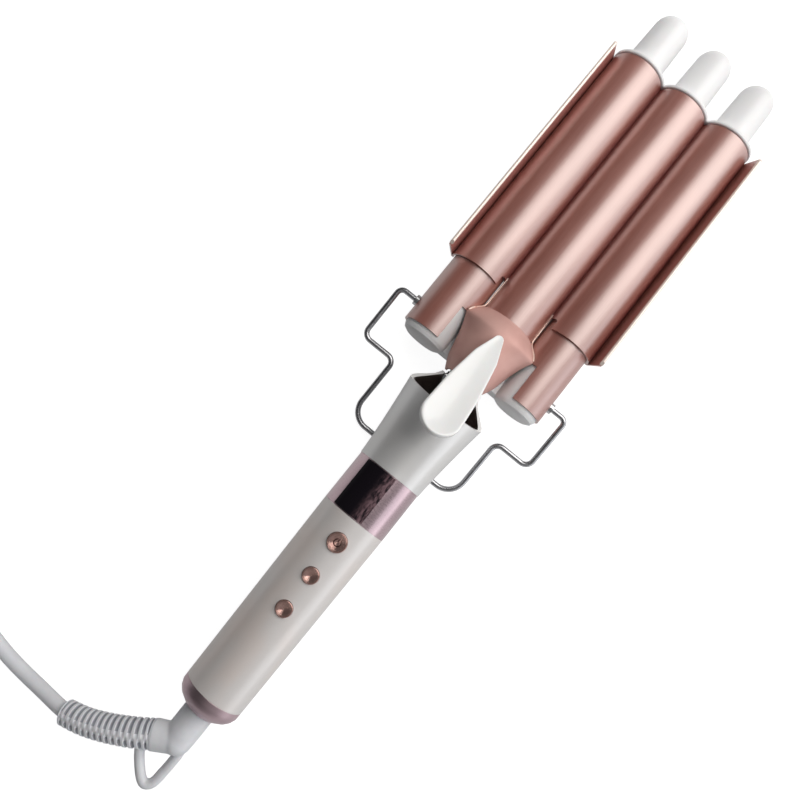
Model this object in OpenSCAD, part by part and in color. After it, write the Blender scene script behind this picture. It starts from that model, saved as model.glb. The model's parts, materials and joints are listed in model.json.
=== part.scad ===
// Hair waver: three heated barrels under a pressed clamp plate that a thumb lever opens.
// Every module draws in work coordinates, and on_floor() then moves it to the part's frame.
// Work coordinates: +Y runs along the barrels to their tips, with Y = 0 at the middle of
// the display band, and Z = 0 on the barrels' axes. The part's own frame has the same
// directions, with its origin on the floor, half way between the loop and the tips.

/* [Barrels] */
// Outside diameter of each barrel
barrel_d = 25; // [23:0.5:27]
// Wall of the barrel tubes
barrel_wall = 1.2; // [0.8:0.1:2]
// Free space between two neighbouring barrels
barrel_gap = 1.5; // [1:0.1:3]
// Length of the outer barrels behind the clamp plate
barrel_tail = 36.4; // [34:0.2:44]
// Inner side cut away from the outer barrels' rear ends, measured along them
tail_cut = 18; // [14:0.5:20]

/* [Clamp plate] */
// Length of the humped sheet
plate_len = 125.4; // [90:0.2:160]
// Thickness of the sheet
sheet_t = 1; // [0.8:0.1:1.2]
// Free space between the closed sheet and the barrels
plate_gap = 0.4; // [0.3:0.1:0.8]
// Height of the side wings above the barrels' axes
wing_h = 13.5; // [9:0.5:16]
// How far the side wings lean outwards
wing_lean = 3; // [1:0.5:5]
// Radius of the rolled edge along the side wings
hem_r = 0.9; // [0.7:0.1:1.2]

/* [Hinge cover] */
// Widest half-width of the cover, at its crest
crest_w = 19; // [17.5:0.1:19.5]
// Height of the cover above the barrels' axes
cover_h = 19; // [18:0.1:20]
// Thickness of the cover
cover_t = 1; // [0.8:0.1:1.2]

/* [Thumb lever] */
// Length of the lever
lever_len = 59.5; // [56:0.5:62]
// Widest half-width of the lever
lever_w = 9.3; // [8:0.1:10.5]
// Thickness of the lever
lever_t = 3.2; // [2.6:0.1:3.8]
// Slope of the lever up from the cover, in degrees
lever_tilt = 23; // [22:0.5:24]

/* [Tip comb] */
// Length of the fingers in front of their web
finger_len = 32.5; // [24:0.5:44]
// Diameter of the fingers
finger_d = 18.4; // [16:0.2:19]
// Thickness of the web along the barrels
web_len = 2; // [2:0.1:4]
// Height of the web's collars above the clamp plate
collar_proud = 0.4; // [0:0.1:1]

/* [Handle] */
// Diameter of the handle at the display band
handle_d = 31.6; // [31:0.2:33]
// Diameter of the grip at its rear end
grip_rear_d = 28.8; // [28.4:0.2:30]
// Length of the grip behind the display band
grip_len = 93.5; // [92:0.5:120]
// Width of the display band along the handle
band_w = 24.6; // [22:0.2:30]
// Wall of the grip, band and end cap
shell_t = 2; // [1.6:0.1:2.2]
// Height of the handle's axis above the barrels' axes
handle_rise = 8; // [7.8:0.1:8.6]
// Length of the flared front collar
collar_len = 40.2; // [38:0.2:50]
// Diameter of the collar at its mouth
mouth_d = 40.4; // [38:0.2:41]
// Wall of the front collar
collar_t = 1.8; // [1.4:0.1:2]
// Length of the half-round chin in front of the mouth
chin_len = 11; // [10:0.2:12]
// Depth of the rear end cap
cap_len = 9.4; // [9:0.1:12]

/* [Display] */
// Angle of the window's left edge from the top, in degrees
window_from = -47; // [-60:1:-35]
// Angle of the window's right edge from the top, in degrees
window_to = 11; // [5:1:35]
// Thickness of the window
window_t = 1.2; // [0.8:0.1:1.4]
// Rim of the band in front of and behind the window
window_rim = 0.5; // [0.4:0.1:3]

/* [Buttons] */
// Diameter of the power button
power_d = 8.6; // [7:0.1:9]
// Diameter of the plus and minus buttons
step_d = 7.2; // [6:0.1:8]
// Distance between the buttons' centres
button_pitch = 17.3; // [16:0.1:20]
// Distance of the power button behind the display band
button_back = 11.5; // [9:0.1:14]
// Height of the buttons above the grip
button_proud = 0.7; // [0.5:0.1:1]
// Travel of the buttons
button_travel = 0.6; // [0.4:0.1:0.7]

/* [Wire stand] */
// Diameter of the stand's wire
wire_d = 2.6; // [2.2:0.1:2.6]
// Half-width of the stand at its pivots, to the middle of the wire
stand_out = 49; // [46:0.5:56]
// Half-width of the stand beside the handle, to the middle of the wire
stand_in = 30.4; // [27:0.2:34]
// Distance from the pivots back to the stand's shoulders
shoulder_back = 28; // [22:0.5:30]
// Distance from the pivots back to the crossbar
crossbar_back = 61; // [56:0.5:63]

/* [Swivel and loop] */
// Diameter of the swivel stem
stem_d = 14; // [12:0.2:14.4]
// Thickness of the hanging loop
loop_d = 4.6; // [4:0.1:5]

/* [Cord] */
// Diameter of the mains cord
cord_d = 6.5; // [6:0.1:7]
// Diameter of the strain relief at its root
relief_d = 13; // [12:0.1:13.6]
// Number of ribs on the strain relief
rib_count = 16; // [10:1:18]

/* [Hidden] */

$fn = 64;
eps = 0.01;
big = 400;
run_fit = 0.06;  // radial clearance of a turning fit
free_fit = 0.2;  // radial clearance of a loose fit

// Barrels and clamp plate, across
pitch = barrel_d + barrel_gap;
barrel_r = barrel_d / 2;
bore_r = barrel_r - barrel_wall;
hump_in = barrel_r + plate_gap;
hump_out = hump_in + sheet_t;
valley_z = sqrt(pow(hump_out, 2) - pow(pitch / 2, 2));  // where two humps meet
ridge_z = valley_z - 1.6;                               // underside of that fold
floor_z = -barrel_r;

// Handle, across
handle_r = handle_d / 2;
grip_rear_r = grip_rear_d / 2;
mouth_r = mouth_d / 2;
axis_z = handle_rise;
stem_r = stem_d / 2;

// Stations along the handle and the barrels
band_y = band_w / 2;
grip_rear_y = -band_y - grip_len;
cap_rear_y = grip_rear_y - cap_len;
mouth_y = band_y + collar_len;
chin_y = mouth_y + chin_len;
pivot_y = chin_y - 1.5;
pivot_z = axis_z;
plug_rear_y = chin_y + 5.6;
plug_flange = 3.9;
disc_y = mouth_y - 18;
disc_len = 8;
chin_r = 10.4;
neck_r = 9.1;
neck_top = 3;
web_half = 9.5;
outer_rear_y = plug_rear_y + plug_flange;
seam_y = outer_rear_y + barrel_tail;
cut_y = outer_rear_y + tail_cut;
centre_rear_y = outer_rear_y + 24;
outer_plug_y = centre_rear_y + 4;
centre_plug_y = centre_rear_y + 14;
plate_front_y = seam_y + plate_len;
comb_y = plate_front_y + 0.7;
comb_plug = 14;
web_front_y = comb_y + web_len;
tip_y = web_front_y + finger_len;

heater_half = 8.5;

// Pin, lugs and ears of the clamp's hinge
pin_r = 1.6;
lug_r = 4.5;
lug_in = 3.8;
lug_out = 5.8;
ear_in = lug_out + 0.3;
ear_t = 1.2;
ear_out = ear_in + ear_t;
head_t = 0.7;
head_gap = 0.2;

// Clamp: sheet, cover, bracket, lever and spring
wing_foot = pitch + hump_out;
wing_low = -1.4;
neck_w = pitch / 2 + 0.35;
slot_r = 1.3;
slot_len = 5.2;  // reach of the slots into the sheet, from its rear edge
wing_corner = 2; // cut corner at both ends of a wing's edge
tongue_w = 6.6;
tongue_y = cut_y - 4.2;
cover_front_y = centre_rear_y + 1.8;
bracket_t = 1.2;
bracket_out = hump_in;
rivet_r = 1.5;
rivet_y = tongue_y + 4;
head_z = bracket_out - bracket_t - 0.3;  // seat of the heads under the arched bracket
post_ys = [cut_y - 7, cut_y - 16];
post_r = 2.4;
screw_r = 1.1;
lever_tip_r = 2.1;
lever_tip_y = cut_y - 3.2;
lever_low = cover_h;  // underside of the lever's tip
rib_w = 2.4;
coil_wire = 1.2;
coil_r = 3.2;
spring_turns = 5;
spring_leg = 11;

// Stand
stand_y = outer_rear_y + 9.5;
wire_r = wire_d / 2;
eyelet_t = 1.2;
wire_end_x = pitch + 6;
crossbar_z = floor_z + wire_r + 0.2;
stand_slope = asin(-crossbar_z / crossbar_back);

display_half = 5;

// Buttons
power_y = -band_y - button_back;
plus_y = power_y - button_pitch;
minus_y = plus_y - button_pitch;
board_z = axis_z + 5;
board_t = 1.6;
board_w = 9.8;
switch_h = 3.2;
flange_z = axis_z + handle_r - shell_t - 1.9;  // top of the buttons' inner flanges
flange_t = 1;

// Mains plug: flat two-pin form with 4 mm pins
plug_w = 35.3;
plug_h = 13.7;
plug_back = -96;
plug_front = -60;
plug_z = floor_z + plug_h / 2;
plug_pin_r = 2;
plug_pin_len = 19;
plug_pin_gap = 18.6;
pin_bevel = 0.5;
pin_root_r = 1.6;
pin_root = 6;    // length of a pin's thinner root in the plug
pin_neck = 0.5;  // length of the root that shows in front of the plug

// Swivel, relief and cord: points chosen by hand, in work coordinates
shaft_r = 5;
socket_len = 3.5;
stem_hole = stem_r + free_fit;
flange_y = grip_rear_y - 0.4;
elbow = [0, -130.5, 8];
elbow_r = stem_r - 0.2;
relief_route = [[-8.6, -135.3, 6.9], [-17, -141, 5.7], [-26, -146.6, 3.6], [-35.2, -151.3, 1.1],
  [-44.3, -154.7, -2]];
relief_way = (relief_route[0] - elbow) / norm(relief_route[0] - elbow);
relief_tip_r = relief_d / 2 - 0.9;
rib_depth = 0.9;
loop_route = [[2.6, -128.6, 7.8], [4.3, -134.5, 6.7], [4.5, -139.5, 5.9], [4.3, -145, 5.2],
  [3.7, -151.6, 4.9], [1.2, -154.2, 4.8], [-1.7, -153, 4.8], [-5, -149.9, 5],
  [-8.2, -146.3, 5.2], [-10.8, -142.6, 5.6]];
loop_path = smooth(loop_route, 3);
loop_rear_y = min([for (p = loop_path) p.y]) - loop_d / 2;
cord_z = floor_z + cord_d / 2;
cord_route = [[-44.3, -154.7, -2], [-49.5, -155.3, -3.9], [-55.2, -155.6, -5.7], [-61.2, -155.8, -7.3],
  [-68.5, -155.8, -8.6], [-75.8, -155.3, cord_z], [-83.3, -154.1, cord_z], [-92, -152.2, cord_z],
  [-101, -150.1, cord_z], [-110, -148.7, cord_z], [-120, -148.25, cord_z]];
tie_t = 0.8;
tie_angle = 10;
coil_centre = [-129, -197];
coil_turns = 4;  // turns side by side in each of the two layers
coil_mid = 39;   // radius at the middle of the turns
coil_out = coil_mid + coil_turns / 2 * cord_d;
coil_in = coil_mid - coil_turns / 2 * cord_d;
coil_low = floor_z + tie_t;
coil_top = coil_low + 2 * cord_d;
coil_cut = cord_d / 3;
tail_y = coil_centre.y - coil_out + cord_d / 2;
tail_z = coil_top - cord_d / 2;
tail_route = [[-141, tail_y + 1.6, tail_z], [-129, tail_y, tail_z], [-117, tail_y, tail_z - 0.8],
  [-106, tail_y, plug_z + 0.8], [plug_back, tail_y, plug_z]];

mid_y = (tip_y + loop_rear_y) / 2;

// ---------- helpers ----------

module on_floor() translate([0, -mid_y, -floor_z]) children();

// A flat outline in X and Z, made solid between two stations along Y
module slab_y(y0, y1) translate([0, y1, 0]) rotate([90, 0, 0]) linear_extrude(height = y1 - y0) children();

// A flat outline in Y and Z, made solid between two stations along X
module slab_x(x0, x1) translate([x0, 0, 0]) rotate([90, 0, 90])
  linear_extrude(height = x1 - x0) children();

// An outline of [radius, station] points, turned about a line along Y
module turned_y(x = 0, z = 0) translate([x, 0, z]) rotate([-90, 0, 0]) rotate_extrude() children();

module rod_y(r, y0, y1, x = 0, z = 0) translate([x, y0, z]) rotate([-90, 0, 0])
  cylinder(r = r, h = y1 - y0);
module rod_x(r, x0, x1, y = 0, z = 0) translate([x0, y, z]) rotate([0, 90, 0]) cylinder(r = r, h = x1 - x0);
module rod_z(r, z0, z1, x = 0, y = 0) translate([x, y, z0]) cylinder(r = r, h = z1 - z0);
module box(x, y, z) translate([x[0], y[0], z[0]]) cube([x[1] - x[0], y[1] - y[0], z[1] - z[0]]);

module both_sides() {
  children();
  mirror([1, 0, 0]) children();
}

function mix(a, b, t) = a + (b - a) * t;

// A smooth curve through points, with k steps between each two of them
function bend_at(p, i, t) =
  let (a = p[max(i - 1, 0)], b = p[i], c = p[i + 1], d = p[min(i + 2, len(p) - 1)])
  0.5 * (2 * b + (c - a) * t + (2 * a - 5 * b + 4 * c - d) * t * t + (3 * b - a - 3 * c + d) * t * t * t);
function smooth(p, k) = concat(
  [for (i = [0 : len(p) - 2]) for (j = [0 : k - 1]) bend_at(p, i, j / k)], [p[len(p) - 1]]);

function heading(p, i) =
  let (v = p[min(i + 1, len(p) - 1)] - p[max(i - 1, 0)]) v / norm(v);

// A round tube swept along a path that never points straight up
module tube(path, radii, sides) {
  n = len(path);
  ring = [for (i = [0 : n - 1])
    let (t = heading(path, i), s = cross(t, [0, 0, 1]) / norm(cross(t, [0, 0, 1])), u = cross(t, s))
    for (j = [0 : sides - 1])
      path[i] + radii[i] * (cos(360 * j / sides) * s + sin(360 * j / sides) * u)];
  walls = [for (i = [0 : n - 2]) for (j = [0 : sides - 1])
    let (k = (j + 1) % sides, a = i * sides, b = a + sides)
    each [[a + j, b + j, b + k], [a + j, b + k, a + k]]];
  caps = [[for (j = [0 : sides - 1]) j], [for (j = [sides - 1 : -1 : 0]) (n - 1) * sides + j]];
  polyhedron(points = ring, faces = concat(walls, caps), convexity = 6);
}

function same(n, r) = [for (i = [1 : n]) r];

// ---------- handle ----------

// Outer radius of the flared collar at a station
function flare(y) = mix(handle_r + 0.3, mouth_r, pow((y - band_y) / collar_len, 1.3));
function grip_at(y) = mix(handle_r, grip_rear_r, (-band_y - y) / grip_len);

module grip_shell() turned_y(z = axis_z) polygon([
  [handle_r - shell_t, -band_y], [handle_r, -band_y],
  [grip_rear_r, grip_rear_y], [grip_rear_r - shell_t, grip_rear_y]]);

screw_ys = [(plus_y + minus_y) / 2, grip_rear_y + 11];
boss_r = 2.6;
shoulder_r = 3.6;  // wider part of the boss, over the board
screw_seat = 9;    // depth of the screw heads below the handle's axis
screw_reach = handle_r / 2;  // reach of the screws above the axis

// Core of the grip, from which its bosses are cut
module grip_core() turned_y(z = axis_z) polygon([[0, -band_y], [handle_r - shell_t / 2, -band_y],
  [grip_rear_r - shell_t / 2, grip_rear_y], [0, grip_rear_y]]);

module grip_upper_shell() color("whitesmoke") difference() {
  union() {
    intersection() {
      grip_shell();
      box([-big, big], [-big, big], [axis_z, axis_z + big]);
    }
    intersection() {
      for (y = screw_ys) {
        rod_z(boss_r, axis_z, axis_z + handle_r, y = y);
        rod_z(shoulder_r, board_z + board_t, axis_z + handle_r, y = y);
      }
      grip_core();
    }
  }
  rod_z(power_d / 2 + free_fit, axis_z, axis_z + big, y = power_y);
  for (y = [plus_y, minus_y]) rod_z(step_d / 2 + free_fit, axis_z, axis_z + big, y = y);
  for (y = screw_ys) rod_z(screw_r, axis_z - eps, axis_z + screw_reach, y = y);
}

module grip_lower_shell() color("whitesmoke") difference() {
  union() {
    intersection() {
      grip_shell();
      box([-big, big], [-big, big], [axis_z - big, axis_z]);
    }
    intersection() {
      for (y = screw_ys) rod_z(shoulder_r, axis_z - handle_r, axis_z, y = y);
      grip_core();
    }
  }
  for (y = screw_ys) {
    rod_z(screw_r, axis_z - handle_r, axis_z + eps, y = y);
    rod_z(screw_r + 1.1 + free_fit, axis_z - handle_r - 1, axis_z - screw_seat, y = y);
  }
}

module case_screws() color("silver") for (y = screw_ys) {
  rod_z(screw_r, axis_z - screw_seat, axis_z + screw_reach, y = y);
  difference() {
    rod_z(screw_r + 1.1, axis_z - screw_seat - 1.8, axis_z - screw_seat, y = y);
    for (a = [0, 90]) translate([0, y, axis_z - screw_seat - 1.8]) rotate([0, 0, a])
      cube([2.8, 0.7, 1.6], center = true);
  }
}

// Outline of the collar's flare between two stations, less a wall
function flare_line(y0, y1, wall) = [for (i = [0 : 10]) let (y = mix(y0, y1, i / 10)) [flare(y) - wall, y]];

// The collar flares to its mouth. In front of it only the lower half goes on, as a chin.
module front_collar() color("white") difference() {
  turned_y(z = axis_z) difference() {
    polygon(concat([[0, band_y]], flare_line(band_y, mouth_y, 0),
      [[mouth_r - 0.5, mouth_y + 0.12 * chin_len], [mouth_r - 1.8, mouth_y + 0.24 * chin_len],
      [mix(chin_r, mouth_r, 0.48), mouth_y + 0.48 * chin_len], [chin_r + 1.9, mouth_y + 0.72 * chin_len],
      [chin_r, chin_y], [0, chin_y]]));
    translate([0, -eps]) polygon(concat([[0, band_y]], flare_line(band_y, mouth_y, collar_t),
      [[mouth_r - collar_t - 0.8, mouth_y + 1.3], [neck_r + 0.1, chin_y - 1.2],
      [neck_r + 0.1, chin_y + 1], [0, chin_y + 1]]));
  }
  slab_x(-big, big) polygon([[mouth_y - 4.5, axis_z + mouth_r + 3], [mouth_y - 4.5, axis_z + mouth_r],
    [mouth_y, axis_z], [chin_y + 3, axis_z - 0.6], [chin_y + 3, axis_z + mouth_r + 3]]);
}

module band_sector(r0, r1, a0, a1, y0, y1) translate([0, 0, axis_z]) rotate([-90, 0, 0])
  rotate([0, 0, a0 - 90]) rotate_extrude(angle = a1 - a0) translate([r0, y0]) square([r1 - r0, y1 - y0]);

module display_window() color([0.06, 0.05, 0.07])
  band_sector(handle_r - window_t, handle_r, window_from, window_to, window_rim - band_y,
    band_y - window_rim);

// The display fills an opening in the band, behind the window
module display_block(top) translate([0, 0, axis_z]) rotate([0, (window_from + window_to) / 2, 0])
  box([-display_half, display_half], [-band_y + 3, band_y - 3], [handle_r - shell_t - 3.6, top]);

module display_band() color([0.78, 0.6, 0.64]) difference() {
  turned_y(z = axis_z) translate([handle_r - shell_t, -band_y]) square([shell_t, band_w]);
  band_sector(handle_r - window_t, handle_r + 1, window_from, window_to,
    -band_y + window_rim, band_y - window_rim);
  display_block(handle_r);
}

module display_module() color([0.15, 0.3, 0.2])
  display_block(sqrt(pow(handle_r - window_t, 2) - pow(display_half, 2)) - 0.05);

module control_board() color([0.1, 0.4, 0.2]) difference() {
  box([-board_w, board_w], [screw_ys[1] - 5, power_y + 6], [board_z, board_z + board_t]);
  for (y = screw_ys) rod_z(boss_r + free_fit, board_z - 1, board_z + board_t + 1, y = y);
}

module tact_switches() color([0.2, 0.2, 0.22]) for (y = [power_y, plus_y, minus_y]) {
  box([-3, 3], [y - 3, y + 3], [board_z + board_t, board_z + board_t + switch_h - 0.6]);
  rod_z(1.5, board_z + board_t + switch_h - 0.6, board_z + board_t + switch_h, y = y);
}

// A button: a cap with a dished top, an inner flange that keeps it in, and a stem
module button(y, d) translate([0, y, 0]) difference() {
  union() {
    rod_z(d / 2, flange_z - eps, axis_z + grip_at(y) + button_proud);
    rod_z(d / 2 + 1, flange_z - flange_t, flange_z);
    rod_z(1.6, board_z + board_t + switch_h + button_travel + 0.15, flange_z);
  }
  translate([0, 0, axis_z + grip_at(y) + button_proud - 0.5])
    cylinder(r1 = 0.6, r2 = d / 2 - 0.7, h = 0.51);
}

module power_button() color([0.75, 0.5, 0.42]) button(power_y, power_d);
module plus_button() color([0.75, 0.5, 0.42]) button(plus_y, step_d);
module minus_button() color([0.75, 0.5, 0.42]) button(minus_y, step_d);

module end_cap() color([0.78, 0.55, 0.55]) turned_y(z = axis_z) polygon([
  [grip_rear_r - shell_t, grip_rear_y], [grip_rear_r, grip_rear_y],
  [grip_rear_r - 0.1, grip_rear_y - 0.34 * cap_len], [grip_rear_r - 0.9, grip_rear_y - 0.55 * cap_len],
  [grip_rear_r - 2.3, grip_rear_y - 0.73 * cap_len], [stem_hole + 1.2, cap_rear_y], [stem_hole, cap_rear_y],
  [stem_hole, cap_rear_y + 2], [grip_rear_r - shell_t - 1.6, grip_rear_y - 0.5 * cap_len],
  [grip_rear_r - shell_t, grip_rear_y - 0.3 * cap_len]]);

module swivel_socket() color([0.3, 0.3, 0.32]) turned_y(z = axis_z) polygon([
  [shaft_r + run_fit, grip_rear_y], [grip_rear_r - shell_t, grip_rear_y],
  [grip_at(grip_rear_y + socket_len) - shell_t, grip_rear_y + socket_len],
  [shaft_r + run_fit, grip_rear_y + socket_len]]);

// ---------- fixed jaw ----------

module carrier_neck() difference() {
  translate([0, axis_z]) circle(r = neck_r);
  translate([-neck_r - 1, neck_top]) square(2 * neck_r + 2);
}

module jaw_carrier() color("white") difference() {
  union() {
    // root disc inside the collar
    turned_y(z = axis_z) polygon(concat([[0, disc_y]],
      flare_line(disc_y, disc_y + disc_len, collar_t + 0.02), [[0, disc_y + disc_len]]));
    // neck, and the lugs that hold the pin
    slab_y(disc_y + disc_len - 1, plug_rear_y + 4) carrier_neck();
    both_sides() slab_x(lug_in, lug_out) {
      translate([pivot_y, pivot_z]) circle(r = lug_r);
      translate([pivot_y - lug_r, neck_top - 1]) square([2 * lug_r, pivot_z - neck_top + 1]);
    }
    // web between the plugs of the outer barrels
    box([-pitch, pitch], [plug_rear_y + 2, cut_y - 0.5], [-web_half, neck_top - 0.8]);
    box([-neck_w, neck_w], [cut_y - 1, centre_rear_y], [-web_half, neck_top - 0.8]);
    both_sides() turned_y(x = pitch) polygon([[0, plug_rear_y], [bore_r - 2.8, plug_rear_y],
      [bore_r - 1, plug_rear_y + 0.9], [bore_r, plug_rear_y + 2.8], [bore_r, outer_plug_y],
      [0, outer_plug_y]]);
    rod_y(barrel_r - 0.2, centre_rear_y - 2, centre_rear_y);
    rod_y(bore_r, centre_rear_y - eps, centre_plug_y);
  }
  rod_x(pin_r, -lug_out - 1, lug_out + 1, pivot_y, pivot_z);
  both_sides() rod_x(wire_r + 0.1, wire_end_x - 0.5, pitch + barrel_r + 1, stand_y);
}

module barrel_tube(x, y0) difference() {
  rod_y(barrel_r, y0, comb_y, x = x);
  rod_y(bore_r, y0 - 1, comb_y + 1, x = x);
}

module outer_barrel() difference() {
  barrel_tube(pitch, outer_rear_y);
  box([0, pitch - 5], [outer_rear_y - 1, cut_y], [-big, big]);
  rod_x(wire_r + 0.1 + eyelet_t, pitch, pitch + barrel_r + 1, stand_y);
}

rose = [0.8, 0.58, 0.52];
module barrel_left() color(rose) mirror([1, 0, 0]) outer_barrel();
module barrel_centre() color(rose) barrel_tube(0, centre_rear_y);
module barrel_right() color(rose) outer_barrel();

// Heater core: a round shoe with two flats, held between the plugs at the barrel's ends
module heater(x, y0) translate([x, 0, 0]) slab_y(y0, comb_y - comb_plug) intersection() {
  circle(r = bore_r - 0.05);
  translate([-heater_half, -bore_r]) square([2 * heater_half, 2 * bore_r]);
}
module heater_left() color("dimgray") heater(-pitch, outer_plug_y);
module heater_centre() color("dimgray") heater(0, centre_plug_y);
module heater_right() color("dimgray") heater(pitch, outer_plug_y);

// One finger: a flared root on the web, a straight shaft and an elliptical end
finger_r = finger_d / 2;
root_out = barrel_r - finger_r - 0.05;
root_len = 7;
end_len = 9;  // length of the rounded end
function finger_outline() = concat(
  [[0, comb_y + 1], [finger_r + root_out, comb_y + 1], [finger_r + root_out, web_front_y]],
  [for (i = [1 : 8]) let (a = 90 * i / 8)
    [finger_r + root_out * (1 - sin(a)), web_front_y + root_len * (1 - cos(a))]],
  [for (i = [1 : 12]) let (a = 90 * i / 12)
    [(finger_r - 0.3) * pow(cos(a), 0.85), tip_y - end_len + end_len * pow(sin(a), 0.85)]]);

module tip_comb() color("white") union() {
  difference() {
    slab_y(comb_y, web_front_y) {
      for (i = [-1 : 1]) translate([i * pitch, 0]) circle(r = hump_out + collar_proud);
      translate([-pitch, floor_z]) square([2 * pitch, barrel_r + valley_z]);
    }
    box([-big, big], [comb_y - 1, web_front_y + 1], [floor_z - 10, floor_z]);
  }
  for (i = [-1 : 1]) {
    turned_y(x = i * pitch) polygon(finger_outline());
    rod_y(bore_r, comb_y - comb_plug, comb_y + 1, x = i * pitch);
  }
}

module hinge_pin() color("silver") {
  rod_x(pin_r, -ear_out - head_gap - head_t - 0.4, ear_out + head_gap, pivot_y, pivot_z);
  rod_x(2.6, ear_out + head_gap, ear_out + head_gap + head_t, pivot_y, pivot_z);
}

module pin_clip() color("dimgray") difference() {
  rod_x(2.8, -ear_out - head_gap - head_t, -ear_out - head_gap, pivot_y, pivot_z);
  rod_x(pin_r, -big, 0, pivot_y, pivot_z);
  box([-big, 0], [pivot_y - 0.9, pivot_y + 0.9], [pivot_z - 5, pivot_z]);
}

module stand_eyelets() color("dimgray") both_sides() difference() {
  rod_x(wire_r + 0.1 + eyelet_t, pitch + bore_r, pitch + barrel_r + 1.6, stand_y);
  rod_x(wire_r + 0.1, pitch, pitch + barrel_r + 3, stand_y);
}

// ---------- clamp ----------

module hump_ring() difference() {
  circle(r = hump_out, $fn = 96);
  circle(r = hump_in, $fn = 96);
}

// Cross-section of the pressed sheet: three humps, two folds and two turned-up wings
module sheet_section() {
  intersection() {
    translate([-pitch / 2, ridge_z]) square([pitch, hump_out]);
    hump_ring();
  }
  both_sides() {
    translate([pitch, 0]) intersection() {
      hump_ring();
      union() {
        translate([-pitch / 2, ridge_z]) square([pitch, hump_out]);
        square([hump_out, hump_out]);
      }
    }
    polygon([[wing_foot - sheet_t, wing_low], [wing_foot + 0.2, wing_low],
      [wing_foot + wing_lean + hem_r, wing_h - hem_r],
      [wing_foot + wing_lean + hem_r - sheet_t, wing_h - hem_r],
      [wing_foot - 0.1, 0], [wing_foot - sheet_t, 0]]);
    translate([wing_foot + wing_lean, wing_h - hem_r]) circle(r = hem_r, $fn = 24);
  }
}

// The middle hump alone, as wide as a flat strip of it
module strip_section(half_w) intersection() {
  hump_ring();
  translate([-half_w, ridge_z]) square([2 * half_w, hump_out]);
}

module clamp_plate() color(rose) difference() {
  union() {
    slab_y(seam_y, plate_front_y) sheet_section();
    slab_y(centre_rear_y, seam_y + 1) strip_section(neck_w);
    slab_y(tongue_y, centre_rear_y + 1) strip_section(tongue_w);
  }
  // round-ended slots, where the neck leaves the two folds
  both_sides() {
    rod_z(slot_r, floor_z, cover_h, x = neck_w + slot_r, y = seam_y + slot_len - slot_r);
    box([neck_w, neck_w + 2 * slot_r], [seam_y - 1, seam_y + slot_len - slot_r], [floor_z, cover_h]);
  }
  // the wings' corners
  both_sides() for (end = [[seam_y, -1], [plate_front_y, 1]])
    slab_x(wing_foot - sheet_t, big) polygon([
      [end[0] - end[1] * wing_corner, wing_h + 1], [end[0] - end[1] * wing_corner, wing_h + eps],
      [end[0] + end[1] * eps, wing_h - wing_corner], [end[0] + end[1], wing_h - wing_corner],
      [end[0] + end[1], wing_h + 1]]);
  rod_z(rivet_r, 0, cover_h, y = rivet_y);
}

// The hinge cover is lofted through round arches. Each arch has its station, its half-width
// and its height, and its skirt stands clear of the outer barrels.
skirt_clear = barrel_r + 0.45;
skirt_min = 3.4;
// Half-width at which the cover's lip lies on the round neck with its skirt clear of the barrels
lip_w = (pow(hump_out, 2) - pow(cover_t, 2) - pow(skirt_clear, 2) + pow(pitch, 2)) / (2 * (pitch - cover_t));
cover_keys = [
  [cover_front_y, lip_w, hump_out + cover_t + 0.03],
  [cut_y + 3.2, crest_w - 1.6, cover_h - 1.4],
  [cut_y + 0.2, crest_w, cover_h - 0.3],
  [cut_y - 1.8, crest_w - 0.8, cover_h],
  [cut_y - 6, crest_w - 2.6, cover_h],
  [cut_y - 14, crest_w - 4.8, cover_h],
  [cut_y - 19.5, crest_w - 6.1, cover_h - 0.4],
  [cut_y - 24, crest_w - 8.1, cover_h - 1.1],
  [pivot_y + 3.2, crest_w - 9.1, cover_h - 1.6]];
function skirt(w) = max(skirt_min, sqrt(max(0, pow(skirt_clear, 2) - pow(pitch - w, 2))));

// Round arch, with upright legs where it is higher than its half-width
function arch(w, foot, top, y, n) =
  let (h = top - foot, r = h > w ? w : (w * w + h * h) / (2 * h),
    half = h > w ? 90 : atan2(w, foot - top + r), leg = max(0, h - w), bow = r * half * PI / 180)
  [for (i = [0 : n])
    let (s = mix(-bow - leg, bow + leg, i / n), a = max(-half, min(half, s / r * 180 / PI)),
      drop = max(0, abs(s) - bow))
    [r * sin(a), y, top - r + r * cos(a) - drop]];

module arch_loft(keys, n) {
  rings = [for (k = keys) concat(
    arch(k[1], skirt(k[1]), k[2], k[0], n),
    [for (i = [0 : n]) arch(k[1] - cover_t, skirt(k[1]), k[2] - cover_t, k[0], n)[n - i]])];
  m = 2 * (n + 1);
  points = [for (r = rings) each r];
  last = (len(rings) - 1) * m;
  walls = [for (i = [0 : len(rings) - 2]) for (j = [0 : m - 1])
    let (k = (j + 1) % m, a = i * m, b = a + m)
    each [[a + j, b + j, b + k], [a + j, b + k, a + k]]];
  ends = [for (j = [0 : n - 1]) each [
    [j, j + 1, m - 2 - j], [j, m - 2 - j, m - 1 - j],
    [last + j, last + m - 2 - j, last + j + 1], [last + j, last + m - 1 - j, last + m - 2 - j]]];
  polyhedron(points = points, faces = concat(walls, ends), convexity = 6);
}

module hinge_cover() color([0.76, 0.55, 0.49]) difference() {
  arch_loft(smooth(cover_keys, 2), 20);
  for (y = post_ys) rod_z(post_r + 0.1, 0, cover_h + 1, y = y);
}

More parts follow.
